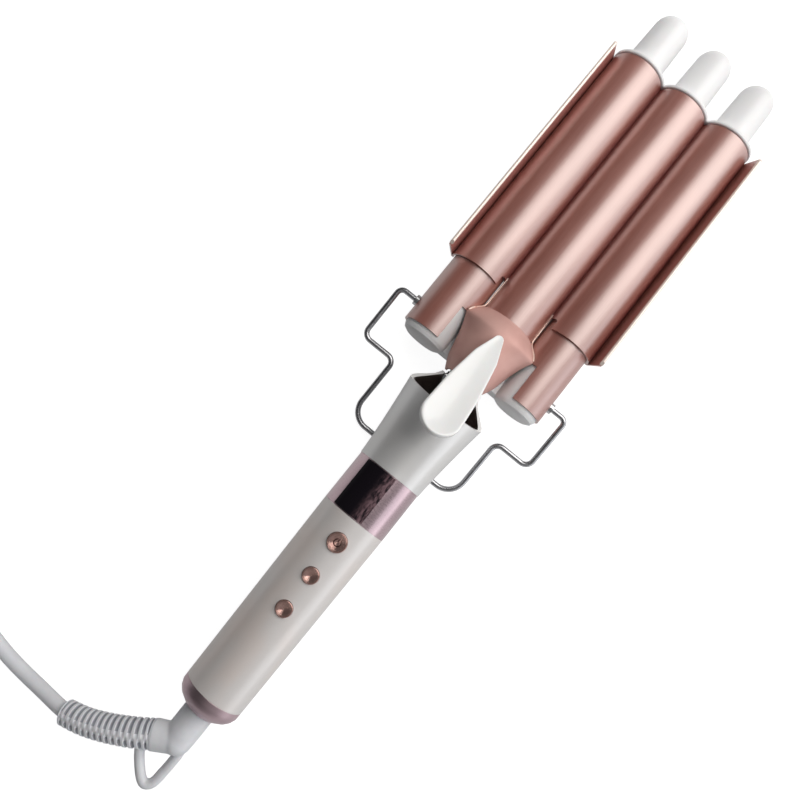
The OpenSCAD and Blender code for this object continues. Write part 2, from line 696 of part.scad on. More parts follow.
module clamp_bracket() color("silver") difference() {
  union() {
    // ears that hang on the pin, with the walls that run forward from them
    both_sides() slab_x(ear_in, ear_out) difference() {
      union() {
        translate([pivot_y, pivot_z]) circle(r = lug_r);
        polygon([[pivot_y, pivot_z - lug_r], [cut_y - 2, pivot_z - lug_r + 1], [cut_y + 3, pivot_z + 1],
          [cut_y + 3, sqrt(pow(bracket_out, 2) - pow(ear_out, 2))],
          [pivot_y + 3, sqrt(pow(bracket_out, 2) - pow(ear_out, 2))], [pivot_y, pivot_z + lug_r]]);
      }
      translate([pivot_y, pivot_z]) circle(r = pin_r + run_fit);
    }
    // arched web, pressed to the underside of the sheet's tongue
    slab_y(pivot_y + 8, cut_y + 3) intersection() {
      difference() {
        circle(r = bracket_out, $fn = 96);
        circle(r = bracket_out - bracket_t, $fn = 96);
      }
      translate([-ear_out, 0]) square([2 * ear_out, bracket_out + 1]);
    }
  }
  for (y = post_ys) rod_z(screw_r, 0, cover_h, y = y);
  rod_z(rivet_r, 0, cover_h, y = rivet_y);
}

module plate_rivet() color("silver") {
  rod_z(rivet_r, head_z, hump_out, y = rivet_y);
  rod_z(rivet_r + 1.1, hump_out, hump_out + 0.8, y = rivet_y);
  rod_z(rivet_r + 1.1, head_z - 0.8, head_z, y = rivet_y);
}

// Outline stations of the teardrop: [distance from the tip, half-width]
lever_steps = [[lever_tip_r, lever_tip_r], [0.25 * lever_len, 0.64 * lever_w],
  [0.55 * lever_len, 0.9 * lever_w], [lever_len - lever_w - 1, lever_w]];

// Height of the lever's underside at a station
function lever_under(y) = lever_low + tan(lever_tilt) * (lever_tip_y - y);

module thumb_lever() color("white") difference() {
  union() {
    translate([0, lever_tip_y, lever_low]) rotate([-lever_tilt, 0, 0]) hull()
      for (s = lever_steps) translate([0, -s[0], 0]) {
        cylinder(r = s[1] - 0.8, h = lever_t, $fn = 40);
        translate([0, 0, 0.6]) cylinder(r = s[1], h = lever_t - 1.6, $fn = 40);
      }
    // rib between the lever and the cover, over the hinge
    slab_x(-rib_w, rib_w) polygon([
      [lever_tip_y - 4, lever_low], [pivot_y - 4, lever_low],
      [pivot_y - 4, lever_under(pivot_y - 4) + 0.6],
      [lever_tip_y - 4, lever_under(lever_tip_y - 4) + 0.6]]);
    for (y = post_ys) rod_z(post_r, hump_in, lever_under(y) + 1, y = y);
  }
  for (y = post_ys) rod_z(screw_r, hump_in - 1, lever_low, y = y);
}

module lever_screws() color("silver") for (y = post_ys) {
  rod_z(screw_r, head_z, lever_low, y = y);
  rod_z(screw_r + 1.1, head_z - 1.3, head_z, y = y);
}

// Torsion spring: its closed turns are one ribbed sleeve round the pin
module clamp_spring() color("gray") {
  translate([-spring_turns * coil_wire / 2, pivot_y, pivot_z]) rotate([0, 90, 0]) rotate_extrude() {
    for (i = [0 : spring_turns - 1])
      translate([coil_r, (i + 0.5) * coil_wire]) circle(r = coil_wire / 2 + 0.02, $fn = 24);
    translate([coil_r - 0.25, 0.3]) square([0.5, spring_turns * coil_wire - 0.6]);
  }
  leg_x = (spring_turns - 1) * coil_wire / 2;
  rod_z(coil_wire / 2, pivot_z, lever_low, x = -leg_x, y = pivot_y - coil_r);
  rod_y(coil_wire / 2, pivot_y, pivot_y + spring_leg, x = leg_x, z = pivot_z - coil_r);
}

// ---------- stand ----------

// Bent round wire through flat points, with a bend radius at each inner point
module bent_wire(p, bends, r) {
  n = len(p);
  way = [for (i = [0 : n - 2]) (p[i + 1] - p[i]) / norm(p[i + 1] - p[i])];
  cut = concat([0], bends, [0]);
  for (i = [0 : n - 2]) {
    a = p[i] + way[i] * cut[i];
    len_i = norm(p[i + 1] - p[i]) - cut[i] - cut[i + 1];
    translate([a.x, a.y, 0]) rotate([0, 0, atan2(way[i].y, way[i].x)]) rotate([0, 90, 0])
      cylinder(r = r, h = len_i, $fn = 24);
  }
  for (i = [1 : n - 2]) {
    a = way[i - 1];
    b = way[i];
    left = a.x * b.y - a.y * b.x > 0;
    c = p[i] - a * cut[i] + b * cut[i];
    from = left ? -b : a;
    translate([c.x, c.y, 0]) rotate([0, 0, atan2(from.y, from.x)])
      rotate_extrude(angle = 90) translate([cut[i], 0]) circle(r = r, $fn = 24);
  }
}

stand_flat = crossbar_back;
module wire_stand() color("silver") translate([0, stand_y, 0]) rotate([stand_slope, 0, 0])
  bent_wire([[-wire_end_x, 0], [-stand_out, 0], [-stand_out, -shoulder_back], [-stand_in, -shoulder_back],
    [-stand_in, -stand_flat], [stand_in, -stand_flat], [stand_in, -shoulder_back],
    [stand_out, -shoulder_back], [stand_out, 0], [wire_end_x, 0]],
    [3, 4, 4, 9, 9, 4, 4, 3], wire_r);

// ---------- swivel, cord and plug ----------

// The stem turns in the end cap, kept in by its flange. A boss on it points along the strain
// relief, and the hanging loop runs on behind it and back into the relief's side.
module swivel_stem() color([0.9, 0.9, 0.92]) {
  turned_y(z = axis_z) polygon([[0, grip_rear_y + socket_len + 1],
    [shaft_r - 1, grip_rear_y + socket_len + 1], [shaft_r, grip_rear_y + socket_len], [shaft_r, flange_y],
    [stem_r + 1.6, flange_y],
    [stem_r + 1.6, flange_y - 5.4], [stem_r, flange_y - 6.6], [stem_r, elbow.y + 4],
    [elbow_r, elbow.y], [0, elbow.y]]);
  translate(elbow) sphere(r = elbow_r);
  translate(elbow) rotate([0, acos(relief_way.z), atan2(relief_way.y, relief_way.x)])
    cylinder(r1 = elbow_r - 0.5, r2 = relief_d / 2 + 0.2, h = norm(relief_route[0] - elbow) + 0.5);
  tube(loop_path, same(len(loop_path), loop_d / 2), 10);
}

// The relief tapers to its tip. Four rings make one rib: two on its crest and two in the groove.
relief_path = smooth(relief_route, rib_count);
function rib_radius(i, n) = mix(relief_d / 2, relief_tip_r, i / n) - (i % 4 < 2 ? 0 : rib_depth);

module strain_relief() color([0.88, 0.88, 0.9]) {
  n = len(relief_path) - 1;
  tube(relief_path, [for (i = [0 : n]) rib_radius(i, n)], 12);
}

module power_cord() color([0.9, 0.9, 0.93])
  tube(smooth(cord_route, 2), same(2 * (len(cord_route) - 1) + 1, cord_d / 2), 10);

// Outer shape of the coil's turns, with its corners cut off, grown by a tie's thickness
module coil_section(grow = 0) {
  x0 = coil_in - grow;
  x1 = coil_out + grow;
  z0 = coil_low - grow;
  z1 = coil_top + grow;
  polygon([[x0 + coil_cut, z0], [x1 - coil_cut, z0], [x1, z0 + coil_cut], [x1, z1 - coil_cut],
    [x1 - coil_cut, z1], [x0 + coil_cut, z1], [x0, z1 - coil_cut], [x0, z0 + coil_cut]]);
}

module cord_coil() color([0.9, 0.9, 0.93]) translate(coil_centre) rotate_extrude() coil_section();

module cord_tail() color([0.9, 0.9, 0.93])
  tube(smooth(tail_route, 2), same(2 * (len(tail_route) - 1) + 1, cord_d / 2), 10);

module cord_tie() color([0.2, 0.2, 0.22]) translate(coil_centre) rotate([0, 0, -20])
  rotate_extrude(angle = tie_angle) difference() {
    coil_section(tie_t);
    coil_section();
  }

module plug_body() color([0.92, 0.92, 0.94]) translate([0, tail_y, plug_z]) difference() {
  hull() {
    for (s = [-1, 1]) translate([plug_back + 14, s * (plug_w - plug_h) / 2, 0]) rotate([0, 90, 0])
      cylinder(d = plug_h, h = plug_front - plug_back - 14, $fn = 32);
    translate([plug_back, 0, 0]) rotate([0, 90, 0]) cylinder(d = cord_d + 4, h = 1, $fn = 32);
  }
  for (s = [-1, 1]) rod_x(pin_root_r, plug_front - pin_root, plug_front + 1, s * plug_pin_gap / 2);
}

module plug_pins() color("gold") translate([0, tail_y, plug_z]) for (s = [-1, 1])
  translate([plug_front, s * plug_pin_gap / 2, 0]) rotate([0, 90, 0]) rotate_extrude()
    polygon([[0, -pin_root], [pin_root_r, -pin_root], [pin_root_r, pin_neck], [plug_pin_r, pin_neck],
      [plug_pin_r, plug_pin_len - pin_bevel], [plug_pin_r - pin_bevel, plug_pin_len], [0, plug_pin_len]]);

on_floor() grip_upper_shell();
on_floor() grip_lower_shell();
on_floor() front_collar();
on_floor() display_band();
on_floor() display_window();
on_floor() display_module();
on_floor() control_board();
on_floor() tact_switches();
on_floor() case_screws();
on_floor() end_cap();
on_floor() swivel_socket();
on_floor() jaw_carrier();
on_floor() barrel_left();
on_floor() barrel_centre();
on_floor() barrel_right();
on_floor() heater_left();
on_floor() heater_centre();
on_floor() heater_right();
on_floor() tip_comb();
on_floor() hinge_pin();
on_floor() pin_clip();
on_floor() stand_eyelets();
on_floor() clamp_plate();
on_floor() hinge_cover();
on_floor() clamp_bracket();
on_floor() plate_rivet();
on_floor() thumb_lever();
on_floor() lever_screws();
on_floor() clamp_spring();
on_floor() wire_stand();
on_floor() power_button();
on_floor() plus_button();
on_floor() minus_button();
on_floor() swivel_stem();
on_floor() strain_relief();
on_floor() power_cord();
on_floor() cord_coil();
on_floor() cord_tail();
on_floor() cord_tie();
on_floor() plug_body();
on_floor() plug_pins();
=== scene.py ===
"""Studio scene of the hair waver: camera, cord, finishes, rounded edges, trim, floor, world and lamps.

Points are written in the work coordinates of the part's source, in metres: Y = 0 is at the display band and
Z = 0 at the barrels' axes. placed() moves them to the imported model's frame.
"""
import json
import math

import bmesh
import bpy
from mathutils import Matrix, Vector


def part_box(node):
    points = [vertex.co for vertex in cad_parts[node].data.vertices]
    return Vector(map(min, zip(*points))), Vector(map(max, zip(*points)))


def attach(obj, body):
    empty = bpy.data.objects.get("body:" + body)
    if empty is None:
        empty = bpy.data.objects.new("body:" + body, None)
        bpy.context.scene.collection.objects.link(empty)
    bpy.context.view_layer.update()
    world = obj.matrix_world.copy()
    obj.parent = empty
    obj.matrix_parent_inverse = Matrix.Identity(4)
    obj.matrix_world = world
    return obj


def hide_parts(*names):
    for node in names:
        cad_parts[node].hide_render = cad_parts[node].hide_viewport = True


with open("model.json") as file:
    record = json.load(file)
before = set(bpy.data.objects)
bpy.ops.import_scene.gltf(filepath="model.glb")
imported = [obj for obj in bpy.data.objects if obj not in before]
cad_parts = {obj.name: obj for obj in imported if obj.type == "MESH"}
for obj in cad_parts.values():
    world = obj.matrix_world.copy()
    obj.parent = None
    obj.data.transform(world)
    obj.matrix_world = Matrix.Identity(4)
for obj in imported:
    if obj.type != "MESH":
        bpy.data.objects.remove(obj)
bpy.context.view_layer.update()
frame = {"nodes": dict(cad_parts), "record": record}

MM = 0.001
BARREL_R = 0.0125
PITCH = 26.5 * MM  # between the barrels' axes
MID_Y = 0.05675  # the frame's origin, half way along the tool
FLOOR = -BARREL_R


def placed(p):
    """A point in work coordinates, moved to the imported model's frame."""
    return Vector((p[0], p[1] - MID_Y, p[2] + BARREL_R))


def linked(name, data):
    """A new object in the scene."""
    obj = bpy.data.objects.new(name, data)
    bpy.context.scene.collection.objects.link(obj)
    return obj


# ---------- camera ----------

CAMERA_PLACE = (-0.01952, 0.00546, 0.35057)
CAMERA_RIGHT = Vector((0.77690, 0.62565, 0.07054))
CAMERA_DOWN = Vector((0.62957, -0.77332, -0.07497))
SENSOR, LENS = 36, 34.82  # mm


def make_camera():
    """The photograph's view: from above and behind, turned so that the tool lies on a diagonal."""
    data = bpy.data.cameras.new("camera")
    data.sensor_width = SENSOR
    data.lens = LENS
    data.clip_start = 0.01
    camera = linked("camera", data)
    turn = Matrix((CAMERA_RIGHT, -CAMERA_DOWN, -CAMERA_RIGHT.cross(CAMERA_DOWN))).transposed()
    camera.matrix_world = Matrix.Translation(placed(CAMERA_PLACE)) @ turn.to_4x4()
    bpy.context.scene.camera = camera


make_camera()

# ---------- curves and rings ----------


def ease(t):
    """0 up to 0 and 1 from 1 on, with a soft step between."""
    t = min(max(t, 0.0), 1.0)
    return t * t * (3 - 2 * t)


def catmull(points, steps):
    """A smooth curve through the points, with so many steps between each two."""
    out = []
    for i in range(len(points) - 1):
        a, b = Vector(points[max(i - 1, 0)]), Vector(points[i])
        c, d = Vector(points[i + 1]), Vector(points[min(i + 2, len(points) - 1)])
        for k in range(steps):
            t = k / steps
            out.append(0.5 * (2 * b + (c - a) * t + (2 * a - 5 * b + 4 * c - d) * t * t
                              + (3 * b - a - 3 * c + d) * t ** 3))
    out.append(Vector(points[-1]))
    return out


def stations(path, level=False):
    """Each point of the path with two directions across it, which turn as little as they can along the way.

    With level, the first direction is level at each point instead.
    """
    side = None
    for i, p in enumerate(path):
        way = (path[min(i + 1, len(path) - 1)] - path[max(i - 1, 0)]).normalized()
        if side is None or level:
            side = way.cross(Vector((0, 0, 1))).normalized()
        else:
            side = (side - way * side.dot(way)).normalized()
        yield p, side, side.cross(way)


def ring(middle, side, up, radii):
    """Points round the middle at equal angles, one for each radius."""
    out = []
    for k, r in enumerate(radii):
        a = 2 * math.pi * k / len(radii)
        out.append(middle + r * (math.cos(a) * side + math.sin(a) * up))
    return out


# ---------- cord ----------

CORD_D = 0.0065
CORD_SIDES = 16
ROUTE_STEPS = 3  # between two points of the route
LOW = FLOOR + CORD_D / 2
RELIEF_END = (-0.0443, -0.1547, -0.002)
CORD_ROUTE = [RELIEF_END, (-0.0495, -0.1553, -0.0039), (-0.0552, -0.1556, -0.0057),
              (-0.0612, -0.1558, -0.0073), (-0.0685, -0.1558, -0.0086), (-0.0758, -0.1553, LOW),
              (-0.0833, -0.1541, LOW), (-0.092, -0.1522, LOW), (-0.101, -0.1501, LOW),
              (-0.11, -0.1487, LOW), (-0.12, -0.14825, LOW)]
COIL = Vector((-0.129, -0.197, 0))
COIL_MID = 0.039  # radius of the middle turn
COIL_OUTER = COIL_MID + 1.5 * CORD_D
COIL_INNER = COIL_OUTER - 3 * CORD_D
COIL_LOW = FLOOR + 0.0008 + CORD_D / 2
TAIL_EASE = 0.0008  # how far the tail is from level where it leaves the coil and where it meets the plug
COIL_TURNS = 6.5
STEPS_PER_TURN = 40
CLIMB = (2.75, 3.35)  # turns between which the cord climbs from the lower layer to the upper
OUTWARDS = 3.2  # turn from which it winds outwards again
PLUG_Z = FLOOR + 0.00685
PLUG_BACK = -0.096


def coil_path():
    """A spiral inwards on the floor, then out again on top of it, its turns a diameter apart."""
    points = []
    for i in range(int(COIL_TURNS * STEPS_PER_TURN) + 1):
        t = i / STEPS_PER_TURN
        radius = max(COIL_OUTER - CORD_D * t, COIL_INNER, COIL_INNER + CORD_D * (t - OUTWARDS))
        radius = min(radius, COIL_OUTER)
        height = CORD_D * ease((t - CLIMB[0]) / (CLIMB[1] - CLIMB[0]))
        angle = math.radians(90) + 2 * math.pi * t
        points.append(COIL + Vector((radius * math.cos(angle), radius * math.sin(angle), COIL_LOW + height)))
    return points


def make_tube(name, points, radius, sides):
    """A round tube as a mesh along the points, with closed flat ends."""
    verts, faces = [], []
    for p, side, up in stations(points):
        verts += ring(p, side, up, [radius] * sides)
    for i in range(len(points) - 1):
        for k in range(sides):
            a, b = i * sides + k, i * sides + (k + 1) % sides
            faces.append((a, b, b + sides, a + sides))
    faces.append(tuple(range(sides)))
    faces.append(tuple(reversed(range((len(points) - 1) * sides, len(points) * sides))))
    mesh = bpy.data.meshes.new(name)
    mesh.from_pydata([tuple(v) for v in verts], [], faces)
    mesh.polygons.foreach_set("use_smooth", [len(f) == 4 for f in faces])
    return linked(name, mesh)


def make_cord():
    """The mains lead: from the strain relief along the floor, into the coil, and out of it to the plug."""
    coil = coil_path()
    lead = catmull(CORD_ROUTE + [tuple(coil[1])], ROUTE_STEPS)[:-1]
    end = coil[-1]
    tail_y = COIL.y - COIL_MID - 1.5 * CORD_D
    tail = catmull([tuple(coil[-2]), tuple(end), (-0.117, tail_y, end.z - TAIL_EASE),
                    (-0.106, tail_y, PLUG_Z + TAIL_EASE), (PLUG_BACK, tail_y, PLUG_Z),
                    (PLUG_BACK + 0.004, tail_y, PLUG_Z)], ROUTE_STEPS)[ROUTE_STEPS + 1:]
    path = [placed(p) for p in lead + coil[1:] + tail]
    cord = make_tube("cord", path, CORD_D / 2, CORD_SIDES)
    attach(cord, "swivel")
    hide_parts("power_cord", "cord_coil", "cord_tail")
    return cord


cord = make_cord()

# ---------- materials ----------


class Nodes:
    """Short calls for the nodes of one tree. A value is a number, or a socket that gives it."""

    def __init__(self, tree):
        self.tree = tree

    def node(self, kind, **settings):
        n = self.tree.nodes.new(kind)
        for name, value in settings.items():
            setattr(n, name, value)
        return n

    def link(self, a, b):
        self.tree.links.new(a, b)

    def feed(self, value, socket):
        """Links a socket, or sets a number or a colour."""
        if isinstance(value, bpy.types.NodeSocket):
            self.link(value, socket)
        elif isinstance(value, tuple):
            socket.default_value = (*value, 1)
        else:
            socket.default_value = value

    def math(self, operation, *values):
        n = self.node("ShaderNodeMath", operation=operation)
        for value, socket in zip(values, n.inputs):
            self.feed(value, socket)
        return n.outputs[0]

    def xyz(self, vector):
        n = self.node("ShaderNodeSeparateXYZ")
        self.link(vector, n.inputs[0])
        return n.outputs

    def span(self, value, start, end, low=0.0, high=1.0, smooth=True):
        """low before start and high after end, with a soft step between, or a straight one."""
        n = self.node("ShaderNodeMapRange", interpolation_type="SMOOTHSTEP" if smooth else "LINEAR")
        self.link(value, n.inputs["Value"])
        for name, v in (("From Min", start), ("From Max", end), ("To Min", low), ("To Max", high)):
            n.inputs[name].default_value = v
        return n.outputs["Result"]

    def mix(self, fac, a, b):
        """Value a where fac is 0 and b where it is 1."""
        n = self.node("ShaderNodeMix")
        self.link(fac, n.inputs[0])
        self.feed(a, n.inputs[2])
        self.feed(b, n.inputs[3])
        return n.outputs[0]

    def blend(self, fac, a, b):
        """Colour a where fac is 0 and b where it is 1."""
        n = self.node("ShaderNodeMix", data_type="RGBA")
        self.link(fac, n.inputs[0])
        self.feed(a, n.inputs[6])
        self.feed(b, n.inputs[7])
        return n.outputs[2]


class Shade(Nodes):
    """One material: constants on its shader, and short calls for the nodes that feed it."""

    def __init__(self, name, **constants):
        self.material = bpy.data.materials.get(name) or bpy.data.materials.new(name)
        self.material.use_nodes = True
        super().__init__(self.material.node_tree)
        self.tree.nodes.clear()
        self.shader = self.node("ShaderNodeBsdfPrincipled")
        self.link(self.shader.outputs[0], self.node("ShaderNodeOutputMaterial").inputs[0])
        for constant, value in constants.items():
            self.feed(value, self.shader.inputs[constant.replace("_", " ")])
        self.place = self.node("ShaderNodeTexCoord").outputs["Object"]

    def moved(self, scale=(1, 1, 1), by=(0, 0, 0)):
        """The place in metres, moved, then scaled."""
        n = self.node("ShaderNodeMapping")
        n.inputs["Location"].default_value = [b * s for b, s in zip(by, scale)]
        n.inputs["Scale"].default_value = scale
        self.link(self.place, n.inputs["Vector"])
        return n.outputs[0]

    def noise(self, scale, detail=2.0, roughness=0.5):
        """Noise with so many spots to the metre, the same each way or by axis."""
        n = self.node("ShaderNodeTexNoise")
        each = (scale,) * 3 if isinstance(scale, (int, float)) else scale
        self.link(self.moved(each), n.inputs["Vector"])
        n.inputs["Scale"].default_value = 1
        n.inputs["Detail"].default_value = detail
        n.inputs["Roughness"].default_value = roughness
        return n.outputs["Fac"]

    def specks(self, scale):
        """Cells with so many to the metre, each of one random grey."""
        n = self.node("ShaderNodeTexVoronoi")
        self.link(self.moved((scale,) * 3), n.inputs["Vector"])
        n.inputs["Scale"].default_value = 1
        return self.xyz(n.outputs["Color"])[0]

    def inside(self, axis_z):
        """1 on faces that look at the line along y at that height, and 0 on faces that look away from it."""
        out = self.node("ShaderNodeVectorMath", operation="MULTIPLY")
        self.link(self.moved(by=(0, 0, -axis_z)), out.inputs[0])
        out.inputs[1].default_value = (1, 0, 1)
        facing = self.node("ShaderNodeVectorMath", operation="DOT_PRODUCT")
        self.link(out.outputs[0], facing.inputs[0])
        self.link(self.node("ShaderNodeNewGeometry").outputs["Normal"], facing.inputs[1])
        return self.span(facing.outputs["Value"], -8 * MM, -3 * MM, 1, 0)

    def patches(self, fac, start, end, a, b, most=1.0):
        """Colour a, which turns softly to b where fac rises from start to end, by so much at most."""
        return self.blend(self.span(fac, start, end, 0, most), a, b)

    def colour(self, socket):
        self.link(socket, self.shader.inputs["Base Color"])
        return self

    def roughness(self, fac, low, high):
        self.link(self.span(fac, 0.25, 0.75, low, high), self.shader.inputs["Roughness"])
        return self

    def bump(self, height, depth):
        """Height from 0 to 1, as a relief so many metres deep. More than one call adds up."""
        n = self.node("ShaderNodeBump")
        n.inputs["Strength"].default_value = 1
        n.inputs["Distance"].default_value = depth
        self.link(height, n.inputs["Height"])
        old = self.shader.inputs["Normal"].links
        if old:
            self.link(old[0].from_socket, n.inputs["Normal"])
        self.link(n.outputs[0], self.shader.inputs["Normal"])
        return self


HANDLE_AXIS = placed((0, 0, 0.008)).z
PLATE_REAR = placed((0, 0.1094, 0)).y
WING_FOOT, WING_IN, WING_TOP = 40 * MM, 40.4 * MM, 41.9 * MM  # distances from the middle plane
HEM_LOW = placed((0, 0, 0.0117)).z
CREASE_SHADE = (0.79 * PITCH / 2, 0.97 * PITCH / 2)  # from a hump's middle: where the painted shade in a crease starts and is darkest


def rose_gold():
    """Pearl-lacquered aluminium: fine streaks along the barrels, faint clouds, painted shade in the clamp's
    creases, a lighter tone on the wings' inner faces as a painted reflection, and a painted highlight on
    their hems."""
    s = Shade("rose_gold", Metallic=0.12, Roughness=0.42, IOR=2.4, Coat_Weight=1.0, Coat_IOR=2.3,
              Coat_Roughness=0.36, Specular_Tint=(1.0, 0.95, 0.91))
    streaks = s.noise((2200, 50, 2200), 3, 0.6)
    clouds = s.noise((70, 25, 70), 2)
    tone = s.patches(clouds, 0.3, 0.7, (0.32, 0.085, 0.058), (0.38, 0.115, 0.082))
    tone = s.patches(streaks, 0.35, 0.75, tone, (0.46, 0.19, 0.15), 0.35)
    x, y, z = s.xyz(s.place)[:3]
    across = s.math("ABSOLUTE", x)
    crease_shade = s.span(s.math("PINGPONG", x, PITCH / 2), *CREASE_SHADE)
    on_plate = s.math("MULTIPLY", s.span(y, PLATE_REAR, PLATE_REAR + 3 * MM),
                      s.span(across, WING_FOOT, WING_FOOT + 1 * MM, 1, 0))
    # painted shade: the plate's creases darkened towards a deep maroon
    tone = s.blend(s.math("MULTIPLY", crease_shade, on_plate), tone, (0.20, 0.012, 0.004))
    # painted reflection: the wings' inner faces in a lighter rose
    tone = s.patches(across, WING_IN, WING_IN + 0.6 * MM, tone, (0.60, 0.23, 0.19))
    # painted highlight: the wings' hems near cream
    hem_highlight = s.math("MULTIPLY", s.span(across, WING_TOP, WING_TOP + 0.6 * MM),
                 s.span(z, HEM_LOW, HEM_LOW + 0.4 * MM))
    s.colour(s.blend(hem_highlight, tone, (0.95, 0.78, 0.68)))
    return s.roughness(streaks, 0.38, 0.48).bump(streaks, 0.005 * MM)


def rim_highlight_gold():
    """The same metal on its bent edges in a much lighter tone, a painted highlight."""
    s = Shade("rim_highlight_gold", Metallic=0.35, Roughness=0.3, IOR=2.0, Coat_Weight=0.6, Coat_Roughness=0.25)
    rim_mottle = s.noise((500, 300, 500), 3, 0.6)
    # painted highlight: near-cream tones, much lighter than the plate
    s.colour(s.patches(rim_mottle, 0.35, 0.7, (0.88, 0.58, 0.47), (0.96, 0.76, 0.66)))
    return s.roughness(rim_mottle, 0.26, 0.38).bump(rim_mottle, 0.01 * MM)


def matt_rose():
    """Matt lacquered sheet with a fine orange-peel grain."""
    s = Shade("matt_rose", Metallic=0.3, Roughness=0.55, IOR=1.6)
    clouds = s.noise(90, 2)
    grain = s.noise(2600, 2)
    tone = s.patches(clouds, 0.3, 0.7, (0.58, 0.325, 0.285), (0.65, 0.385, 0.34))
    s.colour(s.patches(grain, 0.5, 0.8, tone, (0.75, 0.5, 0.45), 0.25))
    return s.roughness(grain, 0.48, 0.62).bump(grain, 0.01 * MM)


def rose_mirror(name, rough):
    """Vacuum-plated plastic: a mirror with faint waves and a few hair-fine wipe marks."""
    s = Shade(name, Metallic=1.0, Roughness=rough, Coat_Weight=0.3, Coat_Roughness=0.06)
    waves = s.noise((120, 60, 120), 1)
    wipes = s.noise((400, 6000, 400), 3, 0.7)
    s.colour(s.patches(waves, 0.3, 0.7, (0.50, 0.375, 0.41), (0.57, 0.43, 0.465)))
    return s.roughness(wipes, rough - 0.04, rough + 0.06).bump(waves, 0.02 * MM)


def pearl_white(name, flake_share, warm, cool, painted_inner_shade=False):
    """Pearl-lacquered plastic: warm and cool clouds, a fine flake in the gloss and a thin clear coat, and if
    asked a painted shade, near black, on the faces that look in towards the handle's axis.
    """
    s = Shade(name, Metallic=flake_share, Roughness=0.38, Coat_Weight=0.4, Coat_Roughness=0.12, IOR=1.5)
    clouds = s.noise((45, 22, 45), 2)
    flakes = s.specks(7000)
    tone = s.patches(clouds, 0.35, 0.65, warm, cool)
    tone = s.blend(s.span(flakes, 0, 1, 0, 0.12, smooth=False), tone, (0.9, 0.88, 0.9))
    if painted_inner_shade:
        # painted shade: faces looking in towards the axis turn near black
        tone = s.blend(s.inside(HANDLE_AXIS), tone, (0.11, 0.08, 0.07))
    s.colour(tone)
    return s.roughness(flakes, 0.34, 0.44).bump(s.noise(900, 2), 0.006 * MM)


def moulded_white(name, tone_a, tone_b, gloss, coat):
    """Injection-moulded plastic: a nearly even tone, faint flow lines and soft sink marks."""
    s = Shade(name, Roughness=gloss, Coat_Weight=coat, Coat_Roughness=0.08, IOR=1.5,
              Subsurface_Weight=0.04, Subsurface_Scale=0.002)
    flow = s.noise((60, 25, 60), 3)
    grain = s.noise(3500, 2)
    s.colour(s.patches(flow, 0.3, 0.7, tone_a, tone_b))
    return s.roughness(grain, gloss - 0.04, gloss + 0.07).bump(flow, 0.02 * MM).bump(grain, 0.003 * MM)


def black_lens():
    """Black acrylic over the display, with lighter rose mottling towards its right edge."""
    s = Shade("black_lens", Roughness=0.05, IOR=1.38)
    mottle = s.noise((900, 260, 900), 5, 0.7)
    edge = s.span(s.xyz(s.place)[0], -4 * MM, 1.5 * MM)
    marks = s.math("MULTIPLY", edge, s.span(mottle, 0.38, 0.62))
    s.colour(s.blend(marks, (0.008, 0.006, 0.009), (0.18, 0.105, 0.12)))
    s.link(s.span(marks, 0, 1, 0.05, 0.3), s.shader.inputs["Roughness"])
    return s.bump(mottle, 0.01 * MM)


RING_PITCH = 0.16 * MM  # between the turning marks on a button
ICON_RING = (1.25 * MM, 1.9 * MM)  # inner and outer radius of the power sign's ring
ICON_EDGE = 0.15 * MM  # width of its soft edge


def button_rose(name, centre, icon):
    """Spun rose-gold cap: fine rings about its middle, and if icon an engraved ring and bar."""
    s = Shade(name, Metallic=1.0, Roughness=0.3, Anisotropic=0.95, Anisotropic_Rotation=0.25)
    tangent = s.node("ShaderNodeTangent", direction_type="RADIAL", axis="Z")
    s.link(tangent.outputs[0], s.shader.inputs["Tangent"])
    x, y = s.xyz(s.moved(by=(-centre[0], -centre[1], 0)))[:2]
    r = s.math("SQRT", s.math("ADD", s.math("MULTIPLY", x, x), s.math("MULTIPLY", y, y)))
    rings = s.math("MULTIPLY_ADD", s.math("SINE", s.math("MULTIPLY", r, 2 * math.pi / RING_PITCH)), 0.5, 0.5)
    tone = s.patches(s.noise(1500, 2), 0.3, 0.7, (0.76, 0.46, 0.40), (0.85, 0.55, 0.49))
    if icon:
        inner, outer = ICON_RING
        band = s.math("MULTIPLY", s.span(r, inner, inner + ICON_EDGE),
                      s.span(r, outer - ICON_EDGE, outer, 1, 0))
        across = s.math("ABSOLUTE", x)
        gap = s.math("MULTIPLY", s.span(across, 0.45 * MM, 0.6 * MM, 1, 0), s.span(y, 0, 0.3 * MM))
        length = s.math("MULTIPLY", s.span(y, 0.1 * MM, 0.25 * MM), s.span(y, 1.9 * MM, 2.05 * MM, 1, 0))
        bar = s.math("MULTIPLY", s.span(across, 0.18 * MM, 0.3 * MM, 1, 0), length)
        cut = s.math("MAXIMUM", s.math("MULTIPLY", band, s.math("SUBTRACT", 1.0, gap)), bar)
        s.bump(cut, -0.12 * MM)
        tone = s.blend(cut, tone, (0.13, 0.04, 0.03))
    s.colour(tone)
    return s.roughness(rings, 0.18, 0.26).bump(rings, 0.004 * MM)


def metal(name, tone_a, tone_b, rough, grain=(500, 500, 500)):
    """Bare metal with a drawn or turned grain and faint tarnish."""
    s = Shade(name, Metallic=1.0, Roughness=rough)
    lines = s.noise(grain, 3, 0.6)
    s.colour(s.patches(s.noise(160, 3), 0.35, 0.7, tone_a, tone_b))
    return s.roughness(lines, rough - 0.06, rough + 0.08).bump(lines, 0.004 * MM)


